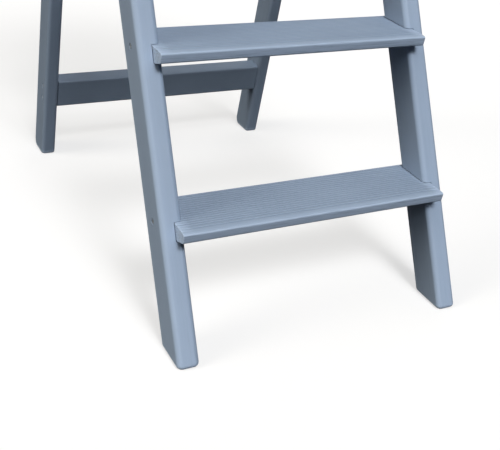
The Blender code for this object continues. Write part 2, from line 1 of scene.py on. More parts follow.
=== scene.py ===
"""The looks of a painted wooden folding step ladder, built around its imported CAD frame.

Every CAD node is replaced by a finer piece of the same size in the same place: sawn and planed
wood with rounded edges, treads with fine reeds, joints with their real gaps, and zinc plated
screws, hinges and hook stays. Units are metres, +Z is up, and the climber stands on the -Y side.
Places come from the frame: the nodes' boxes and the joints' axes. Outlines are drawn in the
Y, Z plane and extruded along X.
"""
import json
import math

import bmesh
import bpy
from mathutils import Matrix, Vector, noise


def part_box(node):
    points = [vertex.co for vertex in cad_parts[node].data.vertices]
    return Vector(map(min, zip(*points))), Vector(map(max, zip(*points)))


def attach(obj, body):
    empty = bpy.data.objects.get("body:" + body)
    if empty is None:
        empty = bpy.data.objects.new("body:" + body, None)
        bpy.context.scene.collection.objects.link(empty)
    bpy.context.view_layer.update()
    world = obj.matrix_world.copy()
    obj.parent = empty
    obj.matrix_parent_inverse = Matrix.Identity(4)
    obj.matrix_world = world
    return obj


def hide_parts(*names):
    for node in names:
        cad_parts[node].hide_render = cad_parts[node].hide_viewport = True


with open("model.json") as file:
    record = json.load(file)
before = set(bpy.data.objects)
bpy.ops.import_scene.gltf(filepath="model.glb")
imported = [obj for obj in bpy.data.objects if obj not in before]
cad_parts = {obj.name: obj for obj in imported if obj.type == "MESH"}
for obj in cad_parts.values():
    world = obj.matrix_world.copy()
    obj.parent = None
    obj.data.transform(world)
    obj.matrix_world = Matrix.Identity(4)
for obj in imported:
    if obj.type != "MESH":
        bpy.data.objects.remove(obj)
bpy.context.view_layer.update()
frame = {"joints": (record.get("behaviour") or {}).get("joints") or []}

# The frames' lean and the sections of the timber
FRONT_LEAN = math.radians(26.0)
REAR_LEAN = math.radians(13.0)
STILE_DEPTH = 0.0733
LEG_DEPTH = 0.067
RAIL_HEIGHT = 0.064
RAIL_THICKNESS = 0.034
STILE_EDGE_RADIUS = 0.0095       # long edges of the stiles
LEG_EDGE_RADIUS = 0.008          # long edges of the rear legs
RAIL_EDGE_RADIUS = 0.0045        # long edges of the rails
FOOT_RADIUS = 0.0058
REAR_FOOT_RADIUS = 0.0033
HEEL_RADIUS = 0.0155
LEG_TOP_RADIUS = 0.0042
LEAST_CORNER = 0.00145           # what a foot's rounding leaves of a bar's long edges
JOINT_GAP = 0.0010               # open joint round a housed end
HOUSING_REACH = 0.030            # housings cut past a tread's nose and back
CLEARANCE = 0.0003               # round a screw, a pin or a stud
BATTEN_RADIUS = 0.003            # lower edges of the batten
BAR_END_RADIUS = 0.0006          # round the ends of the rails and the batten

# Treads and the top board
NOSE_TOP_RADIUS = 0.003
NOSE_BOTTOM_RADIUS = 0.005
NOSE_HEIGHT = 0.018              # from a board's top down to the foot of its nose
NOSE_BEVEL = math.radians(19.0)  # underside's fall behind the foot of the nose
BEVEL_RADIUS = 0.012             # where the bevel meets the flat underside
NOSE_RETREAT = 0.0006            # rounded top of an undercut nose behind its corner
NOSE_UNDERCUT = 0.0035           # foot of the nose behind its top
NOSE_FALL = 0.001                # how far the smooth nosing drops towards its front edge
BACK_RADIUS = 0.0025
BOARD_END_RADIUS = 0.0014
REED_FIRST = 0.017               # from the nose to the first groove
REED_FIRST_STEP = 0.0087         # from the first groove to the second
REED_PITCH = 0.00685
REED_LAST = 0.006                # least distance from the last groove to the back
REED_HALF_WIDTH = 0.0021
REED_DEPTH = 0.0014
REED_RIM = 0.0002                # depth at which a groove begins to darken
REED_POINTS = 8                  # points across a groove
SECTION_STEP = 0.020             # between the sections along a board
SECTION_WANDER = 0.00006         # how far a section strays, as hand-finished wood does
WANDER_SCALE = (9.0, 25.0, 3.0)  # waves per metre along X, Y and Z

# Screws: head radius, shank radius, length
TREAD_SCREW = (0.0042, 0.0022, 0.060)
RAIL_SCREW = (0.0042, 0.0022, 0.070)
BOARD_SCREW = (0.0042, 0.0022, 0.050)
HINGE_SCREW = (0.0038, 0.0018, 0.026)
HEAD_DISH = 0.00025              # hollow in the middle of a countersunk head
HEAD_RIM = 0.0003                # rounding of its rim
SCREW_TIP = 2.5                  # length of a screw's point, in shank radii
RECESS_LENGTH = 1.25             # of a slot in a head, in head radii
RECESS_WIDTH = 0.30              # the same
RECESS_DEPTH = 0.0019
WOOD_SINK = 0.0011               # screw heads below the wood's face
HOLE_ABOVE = 0.003               # how far a screw's hole is cut above the face
SINK_FLARE = 1.2                 # widening of a screw hole above the head, per depth
HOLE_REACH = 0.0065              # from a screw's axis past the walls of its hole
HOLE_RIM = 0.0003                # depth at which the walls of a hole begin
STEEL_SINK = 0.0002              # screw heads below a hinge leaf's face

# Strap hinges
HINGE_OFFSET = 0.0075            # pin axis to the wood on either side
LEAF_THICKNESS = 0.0025
LEAF_EDGE = 0.0004
LEAF_LENGTH = 0.062
LEAF_WIDTH = 0.018
LEAF_CORNER = 0.004
KNUCKLE_WIDTH = 0.0062
PIN_RADIUS = 0.0025
PIN_HEAD_RADIUS = 0.0042
PIN_HEAD_THICKNESS = 0.0012
PIN_HEAD_RIM = 0.0004
LEAF_SCREWS = (0.022, 0.047)
LEG_ABOVE_PIN = 0.006
OVERCUT = 0.001                  # least distance that a cutting shape goes past what it cuts

# Hook stays
HOOK_EDGE = 0.0004
HOOK_HALF_BAR = 0.009
HOOK_TIP = 0.015
HOOK_DROP = 0.015
HOOK_POINT_RADIUS = 0.003
PIVOT_RADIUS = 0.0026
PIVOT_HEAD_RADIUS = 0.006
PIVOT_HEAD_HEIGHT = 0.003
PIVOT_LENGTH = 0.030
PIVOT_HOLE = 0.032               # from the crown of its head to the end of its hole
WASHER_RADIUS = 0.008
WASHER_RIM = 0.0004
STUD_RADIUS = 0.003
STUD_HEAD_RADIUS = 0.006
STUD_HEAD_HEIGHT = 0.0025
STUD_LENGTH = 0.025
STUD_HOLE = 0.0275               # from the crown of its head to the end of its hole
TIP_LENGTH = 0.004               # tapered end of a pivot screw or a stud

# Fineness of the meshes
ARC_STEPS = 8
EDGE_STEPS = 6
FOOT_STEPS = 10                  # sections in the rounding of a foot
ROUND_SEGMENTS = 32
SMOOTH_ANGLE = math.radians(28.0)
SAME_POINT = 0.00001

UP_STILE = Vector((math.sin(FRONT_LEAN), math.cos(FRONT_LEAN)))  # (Y, Z), towards the top
STILE_BACKWARD = Vector((math.cos(FRONT_LEAN), -math.sin(FRONT_LEAN)))
DOWN_LEG = Vector((math.sin(REAR_LEAN), -math.cos(REAR_LEAN)))
LEG_FORWARD = Vector((-math.cos(REAR_LEAN), -math.sin(REAR_LEAN)))

SIDES = (("left", -1), ("right", 1))
SQUARE = ((-1, -1), (1, -1), (1, 1), (-1, 1))
RAILS = ("bottom", "middle", "top")
TREADS = tuple(f"tread_{number}" for number in range(1, 5))
JOINT_PLACES = {joint["name"]: Vector(joint["pos_m"]) for joint in frame["joints"]}


def middle_of(node):
    """The middle of a node's box."""
    low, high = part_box(node)
    return (low + high) / 2


# ---- Outlines -------------------------------------------------------------------------------

def arc(centre, radius, start, turn, steps):
    """Points on an arc, angles from the first axis towards the second."""
    angles = [start + turn * step / steps for step in range(steps + 1)]
    return [Vector((centre[0] + radius * math.cos(angle), centre[1] + radius * math.sin(angle)))
            for angle in angles]


def filleted(corners):
    """Outline through (first, second, radius) corners, each rounded by its own radius."""
    points = []
    for index, (first, second, radius) in enumerate(corners):
        here = Vector((first, second))
        if radius == 0:
            points.append(here)
            continue
        before = (Vector(corners[index - 1][:2]) - here).normalized()
        after = (Vector(corners[(index + 1) % len(corners)][:2]) - here).normalized()
        half_angle = before.angle(after) / 2
        centre = here + (before + after).normalized() * (radius / math.sin(half_angle))
        start = here + before * (radius / math.tan(half_angle)) - centre
        turn = math.copysign(math.pi - 2 * half_angle, after.cross(before))
        rounded = arc(centre, radius, math.atan2(start.y, start.x), turn, ARC_STEPS)
        joins_last = points and (rounded[0] - points[-1]).length < SAME_POINT
        points += rounded[1:] if joins_last else rounded
    return points


def groove_places(front, back):
    """Y of the middle of each groove in a reeded board."""
    places = [front + REED_FIRST]
    place = front + REED_FIRST + REED_FIRST_STEP
    while place < back - REED_LAST:
        places.append(place)
        place += REED_PITCH
    return places


def reeded_outline(low, high):
    """Section of a board between two box corners: rounded nose, and grooves across its top."""
    front, back, bottom, top = low.y - NOSE_RETREAT, high.y, low.z, high.z
    nose_foot = (front + NOSE_UNDERCUT, top - NOSE_HEIGHT)
    bevel_end = nose_foot[0] + (nose_foot[1] - bottom) / math.tan(NOSE_BEVEL)
    corners = [(*nose_foot, NOSE_BOTTOM_RADIUS), (bevel_end, bottom, BEVEL_RADIUS)]
    corners.append((back, bottom, BACK_RADIUS))
    corners.append((back, top, BACK_RADIUS))
    for groove in reversed(groove_places(front, back)):
        for point in range(REED_POINTS + 1):
            across = 1 - 2 * point / REED_POINTS
            depth = REED_DEPTH * (0.5 + 0.5 * math.cos(math.pi * across))
            corners.append((groove + across * REED_HALF_WIDTH, top - depth, 0))
    corners.append((front, top - NOSE_FALL, NOSE_TOP_RADIUS))
    return filleted(corners)


# ---- Leaning bars ---------------------------------------------------------------------------

def section(low_x, high_x, depth, radius, side=0.0, front=0.0, back=0.0):
    """Rounded rectangle across a bar as (X, depth behind its front), pulled in by insets."""
    low_x += side
    high_x -= side
    back = depth - back
    corner = max(radius - side, LEAST_CORNER)
    return filleted([(low_x, front, corner), (high_x, front, corner),
                     (high_x, back, corner), (low_x, back, corner)])


def fillet_reach(radius, lean_in):
    """Distance along the floor that a foot's fillet takes, where its face leans inwards."""
    return radius / math.tan((math.pi / 2 - lean_in) / 2)


def foot_inset(height, radius, lean_in):
    """How far a filleted foot lies inside its bar's face at a height, measured level."""
    reach = fillet_reach(radius, lean_in)
    if height >= reach * math.cos(lean_in):
        return 0.0
    return reach - math.sqrt(radius ** 2 - (height - radius) ** 2) - height * math.tan(lean_in)


def level_ring(foot_y, lean, height, outline):
    """A bar's outline cut level at a height; a positive lean is towards the back."""
    front = foot_y + height * math.tan(lean)
    return [(x, front + depth / math.cos(lean), height) for x, depth in outline]


def foot_rings(low_x, high_x, depth, radius, foot_y, lean, toe_radius, heel_radius):
    """Level sections of a bar's rounded foot, from the floor up."""
    top = max(fillet_reach(toe_radius, lean), fillet_reach(heel_radius, -lean)) * math.cos(lean)
    rings = []
    for step in range(FOOT_STEPS + 1):
        height = top * (1 - math.cos(math.pi / 2 * step / FOOT_STEPS))
        outline = section(low_x, high_x, depth, radius, foot_inset(height, toe_radius, 0.0),
                          foot_inset(height, toe_radius, lean) * math.cos(lean),
                          foot_inset(height, heel_radius, -lean) * math.cos(lean))
        rings.append(level_ring(foot_y, lean, height, outline))
    return rings


# ---- Meshes ---------------------------------------------------------------------------------

def add_band(shape, lower, upper):
    """Joins two loops of vertices by a band of faces."""
    for index in range(len(lower)):
        following = (index + 1) % len(lower)
        shape.faces.new((lower[index], lower[following], upper[following], upper[index]))


def add_extrusion(shape, outline, low_x, high_x):
    """Extrudes a (Y, Z) outline along X and returns the edges round its two ends."""
    ends = [shape.faces.new([shape.verts.new((x, *point)) for point in outline])
            for x in (low_x, high_x)]
    add_band(shape, *(end.verts[:] for end in ends))
    return [edge for end in ends for edge in end.edges]


def add_loft(shape, rings, closed=False):
    """Skins rings of equally many points; a closed loft's last ring joins its first."""
    loops = [[shape.verts.new(point) for point in ring] for ring in rings]
    if not closed:
        shape.faces.new(loops[0])
        shape.faces.new(loops[-1])
    for lower, upper in zip(loops, loops[1:] + loops[:1] if closed else loops[1:]):
        add_band(shape, lower, upper)


def add_turned(shape, profile, start, direction, closed=False):
    """Turns a (distance along the axis, radius) profile about the axis from start."""
    turn = Vector(direction).to_track_quat("Z", "Y")
    rings = []
    for distance, radius in profile:
        circle = arc((0, 0), radius, 0, math.tau * (1 - 1 / ROUND_SEGMENTS), ROUND_SEGMENTS - 1)
        rings.append([Vector(start) + turn @ Vector((*point, distance)) for point in circle])
    add_loft(shape, rings, closed)


def mesh_object(name, shape):
    """An object made of a bmesh, with its faces pointing out."""
    bmesh.ops.recalc_face_normals(shape, faces=shape.faces)
    mesh = bpy.data.meshes.new(name)
    shape.to_mesh(mesh)
    shape.free()
    made = bpy.data.objects.new(name, mesh)
    bpy.context.scene.collection.objects.link(made)
    return made


def rounded_bar(name, outline, low_x, high_x, radius):
    """An outline extruded along X whose end edges are rounded."""
    shape = bmesh.new()
    edges = add_extrusion(shape, outline, low_x, high_x)
    bmesh.ops.bevel(shape, geom=edges, offset=radius, offset_type="OFFSET",
                    segments=EDGE_STEPS, profile=0.5, affect="EDGES", clamp_overlap=False)
    return mesh_object(name, shape)


def apply_modifiers(part):
    """Replaces an object's mesh by what its modifiers make of it."""
    depsgraph = bpy.context.evaluated_depsgraph_get()
    mesh = bpy.data.meshes.new_from_object(part.evaluated_get(depsgraph))
    part.modifiers.clear()
    part.data = mesh


def cut(part, shapes):
    """Takes each closed bmesh out of a part."""
    tools = [mesh_object(f"{part.name}_tool", shape) for shape in shapes]
    for tool in tools:
        boolean = part.modifiers.new("cut", "BOOLEAN")
        boolean.operation = "DIFFERENCE"
        boolean.solver = "EXACT"
        boolean.object = tool
    apply_modifiers(part)
    for tool in tools:
        bpy.data.objects.remove(tool, do_unlink=True)


def smooth(part):
    """Shades a part smooth, with flat faces kept flat and steps over SMOOTH_ANGLE kept sharp."""
    part.data.shade_smooth()
    part.data.set_sharp_from_angle(angle=SMOOTH_ANGLE)
    weighted = part.modifiers.new("flat faces", "WEIGHTED_NORMAL")
    weighted.keep_sharp = True
    weighted.weight = 100
    apply_modifiers(part)


# ---- Materials ------------------------------------------------------------------------------

PAINT_DARK = (0.272, 0.350, 0.472)
PAINT_LIGHT = (0.298, 0.384, 0.516)
HOLLOW_SHADE = (0.105, 0.145, 0.210)  # painted shade in the grooves and on the walls of screw holes
PAINT_RUBBED = (0.320, 0.400, 0.520)  # along handled edges
FADE_AND_HIGHLIGHT = (0.460, 0.570, 0.740)  # chalky faded paint on end grain and feet, and a painted highlight on noses
NOSE_HIGHLIGHT = 0.6  # share of that colour at a nose's front, as a painted highlight
NOSE_HIGHLIGHT_REACH = 0.008  # how far it reaches behind a nose's front
END_FADE_REACH = 0.004  # and from a board's ends
SIDE_FADE = 0.25  # share of it along the top board's ends
CORNER_FADE_REACH = 0.030  # where that grows to the full at the corners
FOOT_FADE_REACH = 0.010  # how far it reaches up a foot
ZINC_DARK = (0.52, 0.53, 0.54)
ZINC_LIGHT = (0.80, 0.81, 0.82)
EDGE_FACING = 0.985  # cosine of the turn at which an edge begins
EDGE_FADE = 0.2  # fall of that cosine to the edge's full value

# How fast the grain's noise changes along X, Y and Z, once the wood's lean is turned away
UPRIGHT_GRAIN = (230.0, 230.0, 7.0)
BOARD_GRAIN = (8.0, 210.0, 210.0)
RAIL_GRAIN = (7.0, 230.0, 230.0)


class Tree:
    """A node tree, with short calls for what this script uses."""

    def __init__(self, tree):
        self.tree = tree

    def node(self, kind, **settings):
        """A new node with some of its settings."""
        made = self.tree.nodes.new(kind)
        for setting, value in settings.items():
            setattr(made, setting, value)
        return made

    def feed(self, socket, value):
        """Gives a socket a value, or links another node's output to it."""
        if isinstance(value, bpy.types.NodeSocket):
            self.tree.links.new(value, socket)
        else:
            socket.default_value = value

    def math(self, operation, first, second=0.0, clamp=False):
        """One arithmetic step."""
        made = self.node("ShaderNodeMath", operation=operation, use_clamp=clamp)
        self.feed(made.inputs[0], first)
        self.feed(made.inputs[1], second)
        return made.outputs[0]

    def weighted(self, *parts):
        """The sum of (output, weight) parts."""
        total = self.math("MULTIPLY", *parts[0])
        for part in parts[1:]:
            total = self.math("ADD", total, self.math("MULTIPLY", *part))
        return total


class Graph(Tree):
    """A material's node tree."""

    def __init__(self, name):
        self.material = bpy.data.materials.new(name)
        self.material.use_nodes = True
        super().__init__(self.material.node_tree)
        self.shader = self.tree.nodes["Principled BSDF"]
        self.place = self.node("ShaderNodeTexCoord")

    def mapped(self, rotation, scale):
        """Object coordinates, turned and then stretched."""
        turned = self.node("ShaderNodeMapping")
        self.feed(turned.inputs["Vector"], self.place.outputs["Object"])
        turned.inputs["Rotation"].default_value = rotation
        stretched = self.node("ShaderNodeMapping")
        self.feed(stretched.inputs["Vector"], turned.outputs["Vector"])
        stretched.inputs["Scale"].default_value = scale
        return stretched.outputs["Vector"]

    def noise(self, vector, scale, detail=3.0, distortion=0.0):
        """Noise from 0 to 1, mostly near a half."""
        made = self.node("ShaderNodeTexNoise")
        self.feed(made.inputs["Vector"], vector)
        made.inputs["Scale"].default_value = scale
        made.inputs["Detail"].default_value = detail
        made.inputs["Distortion"].default_value = distortion
        return made.outputs["Fac"]

    def ranged(self, value, from_low, from_high, to_low=0.0, to_high=1.0):
        """Maps a range onto another, smoothly, and clamps it."""
        made = self.node("ShaderNodeMapRange", interpolation_type="SMOOTHSTEP")
        self.feed(made.inputs["Value"], value)
        made.inputs["From Min"].default_value = from_low
        made.inputs["From Max"].default_value = from_high
        made.inputs["To Min"].default_value = to_low
        made.inputs["To Max"].default_value = to_high
        return made.outputs["Result"]

    def mix(self, factor, first, second):
        """Blends two colours."""
        made = self.node("ShaderNodeMix", data_type="RGBA")
        self.feed(made.inputs["Factor"], factor)
        colours = [socket for socket in made.inputs if socket.type == "RGBA"]
        for socket, value in zip(colours, (first, second)):
            self.feed(socket, (*value, 1.0) if isinstance(value, tuple) else value)
        return next(socket for socket in made.outputs if socket.type == "RGBA")

    def attribute(self, name):
        """A number stored on the mesh's points."""
        return self.node("ShaderNodeAttribute", attribute_name=name).outputs["Fac"]

    def bump(self, height, strength, distance):
        """Turns a height into the shader's normal."""
        made = self.node("ShaderNodeBump")
        made.inputs["Strength"].default_value = strength
        made.inputs["Distance"].default_value = distance
        self.feed(made.inputs["Height"], height)
        self.feed(self.shader.inputs["Normal"], made.outputs["Normal"])


def paint_material(name, lean, grain_scale, painted_shading):
    """Satin oil paint on leaning wood, brushed along the grain; painted_shading scales its colours,
    lighter or darker as painted light and shade.
    """
    graph = Graph(name)
    rotation = (lean, 0.0, 0.0)
    dark = tuple(channel * painted_shading for channel in PAINT_DARK)
    light = tuple(channel * painted_shading for channel in PAINT_LIGHT)
    plain = graph.mapped(rotation, (1.0, 1.0, 1.0))
    grain = graph.mapped(rotation, grain_scale)
    cloudy = graph.noise(plain, scale=7.0, detail=2.0)
    streaks = graph.noise(grain, scale=1.0, detail=4.0, distortion=0.3)
    fibres = graph.noise(grain, scale=0.22, distortion=1.4)
    stipple = graph.noise(plain, scale=900.0, detail=2.0)
    tone = graph.weighted((cloudy, 0.60), (streaks, 0.20), (fibres, 0.20))
    colour = graph.mix(graph.ranged(tone, 0.27, 0.73), dark, light)

    # Painted shade: the paint darkens in the grooves and on the walls of screw holes.
    hollow_shade = graph.math("MULTIPLY", graph.attribute("groove"), 0.90)
    colour = graph.mix(hollow_shade, colour, HOLLOW_SHADE)
    patches = graph.noise(plain, scale=60.0, detail=4.0, distortion=0.6)
    edge = graph.attribute("edge")
    rubbed = graph.math("MULTIPLY", edge, graph.ranged(patches, 0.35, 0.75, 0.0, 0.15))
    colour = graph.mix(rubbed, colour, PAINT_RUBBED)
    # Lighter paint: faded on end grain and feet, and a painted highlight along the noses.
    chips = graph.noise(grain, scale=2.2, detail=5.0, distortion=0.8)
    fade_and_highlight = graph.math("MULTIPLY", graph.attribute("wear_and_highlight"), graph.ranged(chips, 0.25, 0.55))
    colour = graph.mix(fade_and_highlight, colour, FADE_AND_HIGHLIGHT)
    graph.feed(graph.shader.inputs["Base Color"], colour)

    roughness = graph.ranged(tone, 0.36, 0.64, 0.60, 0.47)
    roughness = graph.math("ADD", roughness, graph.math("MULTIPLY", fade_and_highlight, 0.18), True)
    graph.feed(graph.shader.inputs["Roughness"], roughness)
    graph.shader.inputs["Specular IOR Level"].default_value = 0.42
    height = graph.weighted((streaks, 0.35), (fibres, 0.20), (stipple, 0.10), (fade_and_highlight, -0.4))
    graph.bump(height, strength=0.22, distance=0.0002)
    return graph.material


def zinc_material(name):
    """Zinc plated steel: fine rolling marks, dull spots and a blotchy grey tone."""
    graph = Graph(name)
    plain = graph.mapped((0.0, 0.0, 0.0), (1.0, 1.0, 1.0))
    rolled = graph.mapped((FRONT_LEAN, 0.0, 0.0), (2400.0, 900.0, 90.0))
    marks = graph.noise(rolled, scale=1.0)
    spots = graph.noise(plain, scale=420.0, detail=4.0, distortion=0.5)
    tone = graph.weighted((marks, 0.5), (spots, 0.5))
    colour = graph.mix(graph.ranged(tone, 0.38, 0.60), ZINC_DARK, ZINC_LIGHT)
    graph.feed(graph.shader.inputs["Base Color"], colour)
    graph.feed(graph.shader.inputs["Roughness"], graph.ranged(tone, 0.35, 0.62, 0.62, 0.42))
    graph.shader.inputs["Metallic"].default_value = 1.0
    graph.bump(marks, strength=0.35, distance=0.00008)
    return graph.material


# One paint in four copies, lightened on the stiles and darkened on the boards, legs and rails as
# painted light and shade.
MATERIALS = {
    "stile_paint": paint_material("stile_paint", FRONT_LEAN, UPRIGHT_GRAIN, 1.08),
    "leg_paint": paint_material("leg_paint", -REAR_LEAN, UPRIGHT_GRAIN, 0.86),
    "board_paint": paint_material("board_paint", 0.0, BOARD_GRAIN, 0.92),
    "rail_paint": paint_material("rail_paint", -REAR_LEAN, RAIL_GRAIN, 0.80),
    "zinc": zinc_material("zinc"),
}


# ---- Finishing a piece ----------------------------------------------------------------------

def store(mesh, name, values):
    """Stores one number per point for the material to read."""
    attribute = mesh.attributes.new(name, "FLOAT", "POINT")
    attribute.data.foreach_set("value", values)


def edge_values(mesh, axes):
    """1 where a point's normal lies between a piece's faces, as on a rounded edge, else 0."""
    values = []
    for vertex in mesh.vertices:
        facing = max(abs(vertex.normal.dot(axis)) for axis in axes)
        values.append(min(1.0, max(0.0, (EDGE_FACING - facing) / EDGE_FADE)))
    return values


def wooden(part, node, body, material, axes, wear_and_highlight=None, groove=None):
    """Paints a wooden piece, stores what its material reads, and hangs it on its body."""
    smooth(part)
    mesh = part.data
    store(mesh, "edge", edge_values(mesh, axes))
    for name, value_at in (("wear_and_highlight", wear_and_highlight), ("groove", groove)):
        values = [value_at(vertex.co) if value_at else 0.0 for vertex in mesh.vertices]
        store(mesh, name, values)
    place(part, node, body, material, "painted_wood")


def steel(part, node, body):
    """Plates a steel piece and hangs it on its body."""
    smooth(part)
    place(part, node, body, "zinc", "zinc_steel")


def place(part, node, body, material, slot):
    """Gives a piece its material and body, and hides its CAD node; slot is not used."""
    part.data.materials.clear()
    part.data.materials.append(MATERIALS[material])
    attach(part, body)
    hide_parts(node)


# ---- Screws ---------------------------------------------------------------------------------

def screw_profile(size):
    """A countersunk screw from the middle of its head's face down to its point."""
    head_radius, shank_radius, length = size
    head_depth = head_radius - shank_radius
    tip = SCREW_TIP * shank_radius
    return [(HEAD_DISH, 0.4 * head_radius), (0.4 * HEAD_DISH, 0.8 * head_radius),
            (HEAD_RIM, head_radius), (head_depth, shank_radius),
            (length - tip, shank_radius), (length, 0.25 * shank_radius)]


def screw_room(size, start, direction, sink=WOOD_SINK):
    """The countersunk hole that a screw needs, flaring out above the head."""
    head_radius, shank_radius, length = size
    head_depth = head_radius - shank_radius + sink
    mouth = head_radius + CLEARANCE + SINK_FLARE * (sink + HOLE_ABOVE)
    profile = [(-HOLE_ABOVE, mouth), (sink, head_radius + CLEARANCE),
               (head_depth, shank_radius + CLEARANCE), (length, shank_radius + CLEARANCE)]
    room = bmesh.new()
    add_turned(room, profile, start, direction)
    return room


def screw(name, size, start, direction, body, sink=WOOD_SINK):
    """A countersunk screw with a cross recess, its head sunk below the face at start."""
    shape = bmesh.new()
    head = Vector(start) + Vector(direction) * sink
    profile = screw_profile((size[0], size[1], size[2] - sink - CLEARANCE))
    add_turned(shape, profile, head, direction)
    part = mesh_object(f"{name}_look", shape)
    cut(part, cross_recess(size[0], head, direction))
    steel(part, name, body)


def cross_recess(head_radius, head, direction):
    """The two slots of a cross recess, narrower towards the bottom."""
    turn = Vector(direction).to_track_quat("Z", "Y")
    length = RECESS_LENGTH * head_radius
    width = RECESS_WIDTH * head_radius
    slots = []
    for spin in (math.pi / 4, 3 * math.pi / 4):
        rings = []
        for depth, scale in ((-OVERCUT, 1.1), (RECESS_DEPTH, 0.55)):
            corners = [(along * length / 2 * scale, across * width / 2 * scale)
                       for along, across in SQUARE]
            spun = [Matrix.Rotation(spin, 2) @ Vector(corner) for corner in corners]
            rings.append([head + turn @ Vector((*corner, depth)) for corner in spun])
        slot = bmesh.new()
        add_loft(slot, rings)
        slots.append(slot)
    return slots


def side_screw_start(node, side, face):
    """Where a screw that runs along X enters the wood."""
    return Vector((side * face, *middle_of(node).yz))


# ---- Front frame ----------------------------------------------------------------------------

STILE_INNER, STILE_FACE = (corner.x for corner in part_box("right_stile"))
STILE_BACK, STILE_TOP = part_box("right_stile")[1].yz
STILE_FLOOR_Y = (STILE_BACK - STILE_DEPTH / math.cos(FRONT_LEAN)
                 - STILE_TOP * math.tan(FRONT_LEAN))
STILE_AXES = (Vector((1, 0, 0)), Vector((0, *UP_STILE)), Vector((0, *STILE_BACKWARD)))
FLAT_AXES = tuple(Matrix.Identity(3))


def tread_screw_start(node, label, side):
    """Where the screw into one end of a tread enters its stile."""
    return side_screw_start(f"{node}_{label}_screw", side, STILE_FACE)


def board_screw_start(label, end):
    """Where a screw enters the top board."""
    return Vector((*middle_of(f"top_board_{label}_{end}_screw").xy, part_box("top_board")[1].z))


def foot_wear(point):
    """Faded paint round the foot of a stile or a leg."""
    return max(0.0, 1 - point.z / FOOT_FADE_REACH)


def hole_walls(starts):
    """Tells which points lie on the walls of screw holes in a stile's outer face, where painted
    shade goes.
    """
    def recessed(point):
        """1 on a hole's wall, else 0."""
        near = any(math.hypot(point.y - start.y, point.z - start.z) < HOLE_REACH
                   for start in starts)
        return float(near and STILE_FACE - abs(point.x) > HOLE_RIM)

    return recessed


def stile(label, side):
    """A stile with housings for the treads and the batten, and painted shade on the walls of its
    screw holes.
    """
    ends = sorted((side * STILE_INNER, side * STILE_FACE))
    rings = foot_rings(*ends, STILE_DEPTH, STILE_EDGE_RADIUS, STILE_FLOOR_Y, FRONT_LEAN,
                       FOOT_RADIUS, FOOT_RADIUS)
    outline = section(*ends, STILE_DEPTH, STILE_EDGE_RADIUS)
    rings.append(level_ring(STILE_FLOOR_Y, FRONT_LEAN, STILE_TOP, outline))
    shape = bmesh.new()
    add_loft(shape, rings)
    part = mesh_object(f"{label}_stile_look", shape)
    rooms = [housing(node) for node in (*TREADS, "top_batten")]
    starts = [tread_screw_start(node, label, side) for node in TREADS]
    rooms += [screw_room(TREAD_SCREW, start, (-side, 0, 0)) for start in starts]
    rooms += [screw_room(BOARD_SCREW, board_screw_start(label, end), (0, 0, -1))
              for end in ("front", "back")]
    rooms += hinge_screw_rooms(label, "upper")
    rooms.append(straight_room(stud_start(label, side), side, STUD_RADIUS, STUD_HOLE))
    cut(part, rooms)
    wooden(part, f"{label}_stile", "front_frame", "stile_paint", STILE_AXES, foot_wear,
           hole_walls(starts))


def housing(node):
    """The room that a housed tread or the batten needs in both stiles."""
    reach = 0.0 if node == "top_batten" else HOUSING_REACH
    gap = Vector((JOINT_GAP, JOINT_GAP + reach, JOINT_GAP))
    low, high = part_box(node)
    low, high = low - gap, high + gap
    outline = [(low.y, low.z), (high.y, low.z), (high.y, high.z), (low.y, high.z)]
    room = bmesh.new()
    add_extrusion(room, outline, low.x, high.x)
    return room


def board_sections(low, high):
    """(X, inset) of the sections along a board: rounded at both ends, then evenly spaced."""
    rounding = []
    for step in range(EDGE_STEPS + 1):
        angle = math.pi / 2 * step / EDGE_STEPS
        distance = BOARD_END_RADIUS * (1 - math.cos(angle))
        rounding.append((distance, BOARD_END_RADIUS * (1 - math.sin(angle))))
    inner = high.x - low.x - 2 * BOARD_END_RADIUS
    count = round(inner / SECTION_STEP)
    straight = [(low.x + BOARD_END_RADIUS + inner * step / count, 0.0)
                for step in range(1, count)]
    first = [(low.x + distance, inset) for distance, inset in rounding]
    last = [(high.x - distance, inset) for distance, inset in reversed(rounding)]
    return first + straight + last


def board_ring(outline, middle, half_size, x, inset):
    """One section of a board, pulled in towards its middle by an inset, and slightly uneven."""
    ring = []
    for point in outline:
        offset = point - middle
        y = middle.x + offset.x * (1 - inset / half_size.x)
        z = middle.y + offset.y * (1 - inset / half_size.y)
        lift = SECTION_WANDER * (noise.noise(Vector((x, y, z)) * Vector(WANDER_SCALE)) - 1)
        ring.append(Vector((x, y, z + lift * (1 if offset.y > 0 else -1))))
    return ring


def nose_highlight(point, low):
    """A painted highlight along a board's nose, fullest at its front."""
    return NOSE_HIGHLIGHT * max(0.0, 1 - (point.y - low.y) / NOSE_HIGHLIGHT_REACH)


def board(node, screw_rooms, wear_and_highlight):
    """A reeded board, finely rounded at its ends."""
    low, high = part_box(node)
    outline = reeded_outline(low, high)
    rings = [board_ring(outline, middle_of(node).yz, (high - low).yz / 2, x, inset)
             for x, inset in board_sections(low, high)]
    shape = bmesh.new()
    add_loft(shape, rings)
    part = mesh_object(f"{node}_look", shape)
    cut(part, screw_rooms)

    def groove(point):
        """How deep a point lies in a groove, which sets how dark the painted shade is there."""
        behind_nosing = point.y > low.y + REED_FIRST - REED_HALF_WIDTH
        above_underside = point.z > high.z - 2 * REED_DEPTH
        depth = (high.z - REED_RIM - point.z) / REED_DEPTH
        return min(1.0, max(0.0, depth)) * (behind_nosing and above_underside)

    wooden(part, node, "front_frame", "board_paint", FLAT_AXES, wear_and_highlight, groove)


